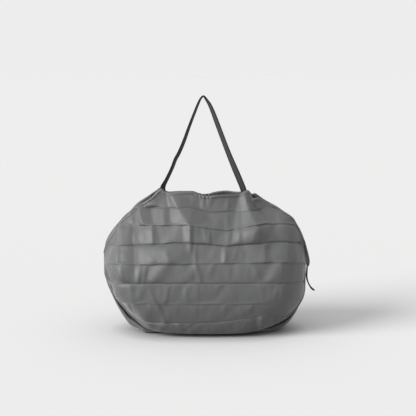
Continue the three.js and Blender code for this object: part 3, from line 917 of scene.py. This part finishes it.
def floor_material(colours):
    """Pale floor with a painted contact shadow: an ambient occlusion node darkens its colour within 45 mm
    of the bag.
    """
    material, wire, shader = new_material("pale_floor_painted_shadow")
    # Painted contact shadow: the floor's colour darkens where the bag is near
    near = wire.node("ShaderNodeAmbientOcclusion", None, {"Distance": 0.045}, out=1)
    feed(wire, shader,
         Base_Color=near.mixed(shade(colours.floor, 0.55), shade(colours.floor, 1.0)),
         Roughness=0.9, Specular_IOR_Level=0.0)
    return material


# Operators

class BAG_OT_stage(Operator):
    """Camera at the photograph's angle, a pale floor and soft light"""

    bl_idname = "bag.stage"
    bl_label = "Stage"

    aim = Vector((2.4, 0.0, 268.0)) * MM
    distance = 2.2
    elevation = math.radians(8.0)
    lens = 87.73
    sensor = 36.0
    floor_size = 60.0
    background = (0.85, 0.85, 0.848, 1.0)
    lights = (
        ("key", 5.4, 34.0, (-0.77, -0.42, 0.42)),
        ("top", 0.5, 80.0, (0.0, 0.1, 1.0)),
    )

    def execute(self, context):
        scene = context.scene
        scene.view_settings.view_transform = "Standard"
        camera = bpy.data.objects.new("camera", bpy.data.cameras.new("camera"))
        camera.data.lens = self.lens
        camera.data.sensor_width = self.sensor
        back = Vector((0.0, -math.cos(self.elevation), math.sin(self.elevation)))
        camera.location = self.aim + back * self.distance
        camera.rotation_euler = back.to_track_quat("Z", "Y").to_euler()
        scene.collection.objects.link(camera)
        scene.camera = camera

        bm = bmesh.new()
        bmesh.ops.create_grid(bm, x_segments=1, y_segments=1, size=self.floor_size)
        mesh = bpy.data.meshes.new("floor")
        bm.to_mesh(mesh)
        bm.free()
        floor = bpy.data.objects.new("floor", mesh)
        floor.data.materials.append(floor_material(scene.bag_colours))
        scene.collection.objects.link(floor)

        world = bpy.data.worlds.new("studio")
        world.use_nodes = True
        background = world.node_tree.nodes["Background"]
        background.inputs["Color"].default_value = self.background
        background.inputs["Strength"].default_value = 1.0
        scene.world = world

        for name, energy, angle, towards in self.lights:
            light = bpy.data.objects.new(name, bpy.data.lights.new(name, "SUN"))
            light.data.energy = energy
            light.data.angle = math.radians(angle)
            light.rotation_euler = Vector(towards).to_track_quat("Z", "Y").to_euler()
            scene.collection.objects.link(light)
        return {"FINISHED"}


class BAG_OT_loop(Operator):
    """Elastic loop that holds the folded bag shut"""

    bl_idname = "bag.loop"
    bl_label = "Closing loop"

    def execute(self, context):
        sizes = context.scene.bag_sizes
        down = [Vector((x, -y, z)) * MM for x, y, z in LOOP_STRAND]
        up = [Vector((x, y, z)) * MM for x, y, z in LOOP_STRAND[:-1]][::-1]
        curve = bpy.data.curves.new("closing_loop_elastic", "CURVE")
        curve.dimensions = "3D"
        curve.bevel_depth = sizes.loop_diameter / 2
        curve.bevel_resolution = 4
        curve.resolution_u = 6
        curve.use_fill_caps = True
        spline = curve.splines.new("BEZIER")
        spline.bezier_points.add(len(down + up) - 1)
        for point, place in zip(spline.bezier_points, down + up):
            point.co = place
            point.handle_left_type = point.handle_right_type = "AUTO"
        loop = bpy.data.objects.new("closing_loop_elastic", curve)
        context.scene.collection.objects.link(loop)
        dress(loop, elastic_material(context.scene.bag_colours), "elastic", "closing_loop")
        return {"FINISHED"}


class BAG_OT_body(Operator):
    """Pleated cloth of the bag, one sheet from rim to rim"""

    bl_idname = "bag.body"
    bl_label = "Pleated body"

    def execute(self, context):
        sizes = context.scene.bag_sizes
        x, along = stations(COLUMNS)
        down = levels()
        table = np.broadcast_to(down, (len(x), len(down))).copy()
        sides = [bag_side(side, x[:, None], table, sizes) for side in (-1, 1)]
        points = np.concatenate([sides[0][0], sides[1][0][:, -2::-1]], axis=1)
        # Crease wear and painted shade and highlight of both sides, carried to the cloth's colour
        wear_and_painted_light = np.concatenate([sides[0][2], sides[1][2][:, -2::-1]], axis=1)
        across = np.concatenate([down, 2 * KEEL - down[-2::-1]]) * sizes.band
        uv = uv_grid(along, across)
        body = grid_object("pleated_cloth_body", points, uv, layers={"wear_and_painted_light": wear_and_painted_light}, turned=True)
        add_wall(body, sizes.wall)
        dress(body, cloth_material("pleated_cloth", context.scene.bag_colours), "cloth", "pleated_body")
        return {"FINISHED"}


class BAG_OT_hems(Operator):
    """Folded hems along both edges of the mouth"""

    bl_idname = "bag.hems"
    bl_label = "Hems"

    # The hem's section: shares of its height down from the rim, and how proud of the cloth it stands there
    profile = ((1.0, 0.15), (0.93, 0.5), (0.75, 0.95), (0.45, 1.05), (0.2, 0.95), (0.05, 0.7), (0.0, 0.35))

    # How far its fold stands above the rim, how far it keeps from the other side, its cloth and its columns
    crown = 0.6
    apart = 0.15
    wall = 0.0004
    columns = 360

    # The seam's place in the hem, the hem's greatest stretch on a slope, and its greatest share of the side
    seam = 0.2
    stretch = 2.4
    tallest = 0.2

    # How slim the hem gets at shallow ends and over a stretch at the right, and how its thickness ripples
    slimming = {"least": 0.3, "gain": 0.7, "depths": (0, 60), "right": (125, 100), "half": 0.5}
    ripples = {"height": 0.25, "short": 1.1, "long": 7.3}

    def execute(self, context):
        sizes = context.scene.bag_sizes
        material = cloth_material("sewn_hem_cloth", context.scene.bag_colours, seam=self.seam * sizes.hem)
        x, along = stations(self.columns)
        hem = sizes.hem / MM
        shares, offsets = np.array(self.profile).T
        half = self.slimming["half"]
        for side, name, node in ((-1, "front_hem_cloth", "front_hem"), (1, "back_hem_cloth", "back_hem")):
            creases = crease_heights(side, x)
            slope = np.minimum(self.stretch, np.hypot(1, np.gradient(creases[0], x)))
            deep = smooth_step(*self.slimming["depths"], SECTIONS.at("depth", x))
            right = half + half * smooth_step(*self.slimming["right"], x)
            slim = self.slimming["least"] + self.slimming["gain"] * deep * right
            drop = np.minimum(hem * slim * slope, self.tallest * (creases[0] - creases[-1]))
            down = np.array([
                np.interp(line[0] - fall * shares, line[::-1], np.arange(BASE_EDGE, -1, -1))
                for line, fall in zip(creases.T, drop)])
            points, normal, _ = bag_side(side, x[:, None], down[:, ::-1], sizes)
            points, normal = points[:, ::-1], normal[:, ::-1]
            waves = np.sin(x / self.ripples["short"]), np.sin(x / self.ripples["long"])
            ripple = slim * (1 + self.ripples["height"] * waves[0] * waves[1])
            proud = (offsets[None, :] * ripple[:, None])[..., None]
            outer = points + normal * proud
            inner = (points - normal * proud)[:, ::-1]
            inner[..., 1] = side * np.maximum(side * inner[..., 1], self.apart)
            crown = points[:, -1:] + np.array([0, 0, self.crown])
            ring = np.concatenate([outer, crown, inner], axis=1)
            girth = np.linspace(0, 2 * hem, ring.shape[1]) * MM
            no_wear_or_painted_light = {"wear_and_painted_light": np.zeros(ring.shape[:2])}
            piece = grid_object(name, ring, uv_grid(along, girth), layers=no_wear_or_painted_light, turned=side < 0)
            add_wall(piece, self.wall)
            dress(piece, material, "cloth", node)
        return {"FINISHED"}


class BAG_OT_strap(Operator):
    """Webbing strap, held up at its middle"""

    bl_idname = "bag.strap"
    bl_label = "Shoulder strap"

    # Rings along the strap, and how often its line is evened out
    rings = 260
    passes = 3

    # The section's corner as a share of half the thickness, and the points round it and along a face
    corner = 0.9
    corner_points = 5
    face_points = 9

    def execute(self, context):
        sizes = context.scene.bag_sizes
        rows = np.array(STRAP_LINE, float)
        run = running(np.hypot(*np.diff(rows[:, :2], axis=0).T))
        line = Rows(("run", "x", "z", "turn"), [(r, *row) for r, row in zip(run, rows)])
        place = np.linspace(0, run[-1], self.rings)
        depth = np.full(self.rings, STRAP_DEPTH)
        middle = np.stack([line.at("x", place), depth, line.at("z", place)], axis=1)
        for _ in range(self.passes):
            middle[1:-1] = 0.25 * middle[:-2] + 0.5 * middle[1:-1] + 0.25 * middle[2:]
        along = np.gradient(middle, axis=0)
        along /= np.linalg.norm(along, axis=1, keepdims=True)
        turn = np.radians(line.at("turn", place))[:, None]
        back = np.array([0.0, 1.0, 0.0])
        wide = np.cross(back, along) * np.cos(turn) + back * np.sin(turn)
        deep = np.cross(along, wide)
        half, thick = sizes.strap_width / MM / 2, sizes.strap_thick / MM / 2
        corner = thick * self.corner
        angles = np.linspace(-math.pi / 2, math.pi / 2, self.corner_points)
        right = [(half - corner + corner * math.cos(a), thick * math.sin(a)) for a in angles]
        flat = np.linspace(half - corner, -half + corner, self.face_points)[1:-1]
        section = right + [(w, thick) for w in flat]
        section += [(-w, -d) for w, d in right] + [(w, -thick) for w in flat[::-1]]
        section.append(section[0])
        section = np.array(section)
        points = middle[:, None] + wide[:, None] * section[:, :1] + deep[:, None] * section[:, 1:]
        strap = grid_object("shoulder_strap_webbing", points, uv_grid(place * MM, section[:, 0] * MM))
        close_ends(strap)
        dress(strap, webbing_material(context.scene.bag_colours), "webbing", "shoulder_strap")
        return {"FINISHED"}


class BAG_OT_tab(Operator):
    """Folded tape at the right end that carries the loop"""

    bl_idname = "bag.tab"
    bl_label = "End tab"

    outline = [
        (212.3, 200.5), (216.4, 186), (222, 166), (225, 150),
        (222.8, 139.8), (216.9, 139.8), (216.8, 163), (213.8, 188),
    ]
    width = 9.0
    points_across = 7
    bevel = 0.0006

    # How the outline's corners are cut to round them
    cuts = 3
    cut_shares = (0.8, 0.2)

    def execute(self, context):
        ring = np.array(self.outline, float)
        near, far = self.cut_shares
        for _ in range(self.cuts):
            after = np.roll(ring, -1, axis=0)
            ring = np.stack([near * ring + far * after, far * ring + near * after], axis=1).reshape(-1, 2)
        ring = np.concatenate([ring, ring[:1]])
        run = running(np.linalg.norm(np.diff(ring, axis=0), axis=1))
        across = np.linspace(-self.width / 2, self.width / 2, self.points_across)
        points = np.zeros((len(ring), len(across), 3))
        points[..., 0] = ring[:, None, 0]
        points[..., 1] = across
        points[..., 2] = ring[:, None, 1]
        tab = grid_object("end_tab_tape", points, uv_grid(run * MM, across * MM))
        close_ends(tab)
        edge = tab.modifiers.new("edge", "BEVEL")
        edge.width = self.bevel
        edge.segments = 2
        dress(tab, cloth_material("tape_cloth", context.scene.bag_colours), "cloth", "end_tab")
        return {"FINISHED"}


class BAG_PT_panel(Panel):
    """Lists the bag's pieces and settings"""

    bl_idname = "BAG_PT_panel"
    bl_label = "Bag"
    bl_space_type = "VIEW_3D"
    bl_region_type = "UI"
    bl_category = "Bag"

    def draw(self, context):
        for operator in OPERATORS:
            self.layout.operator(operator.bl_idname)
        for group in (context.scene.bag_sizes, context.scene.bag_colours):
            for name in group.__annotations__:
                self.layout.prop(group, name)


OPERATORS = (BAG_OT_stage, BAG_OT_loop, BAG_OT_body, BAG_OT_hems, BAG_OT_strap, BAG_OT_tab)
CLASSES = (BagSizes, BagColours, *OPERATORS, BAG_PT_panel)


def register():
    for cls in CLASSES:
        bpy.utils.register_class(cls)
    bpy.types.Scene.bag_sizes = PointerProperty(type=BagSizes)
    bpy.types.Scene.bag_colours = PointerProperty(type=BagColours)


def unregister():
    del bpy.types.Scene.bag_colours
    del bpy.types.Scene.bag_sizes
    for cls in reversed(CLASSES):
        bpy.utils.unregister_class(cls)


def main():
    register()
    bpy.ops.bag.stage()
    bpy.ops.bag.loop()
    bpy.ops.bag.body()
    bpy.ops.bag.hems()
    bpy.ops.bag.strap()
    bpy.ops.bag.tab()


if __name__ == "__main__":
    main()
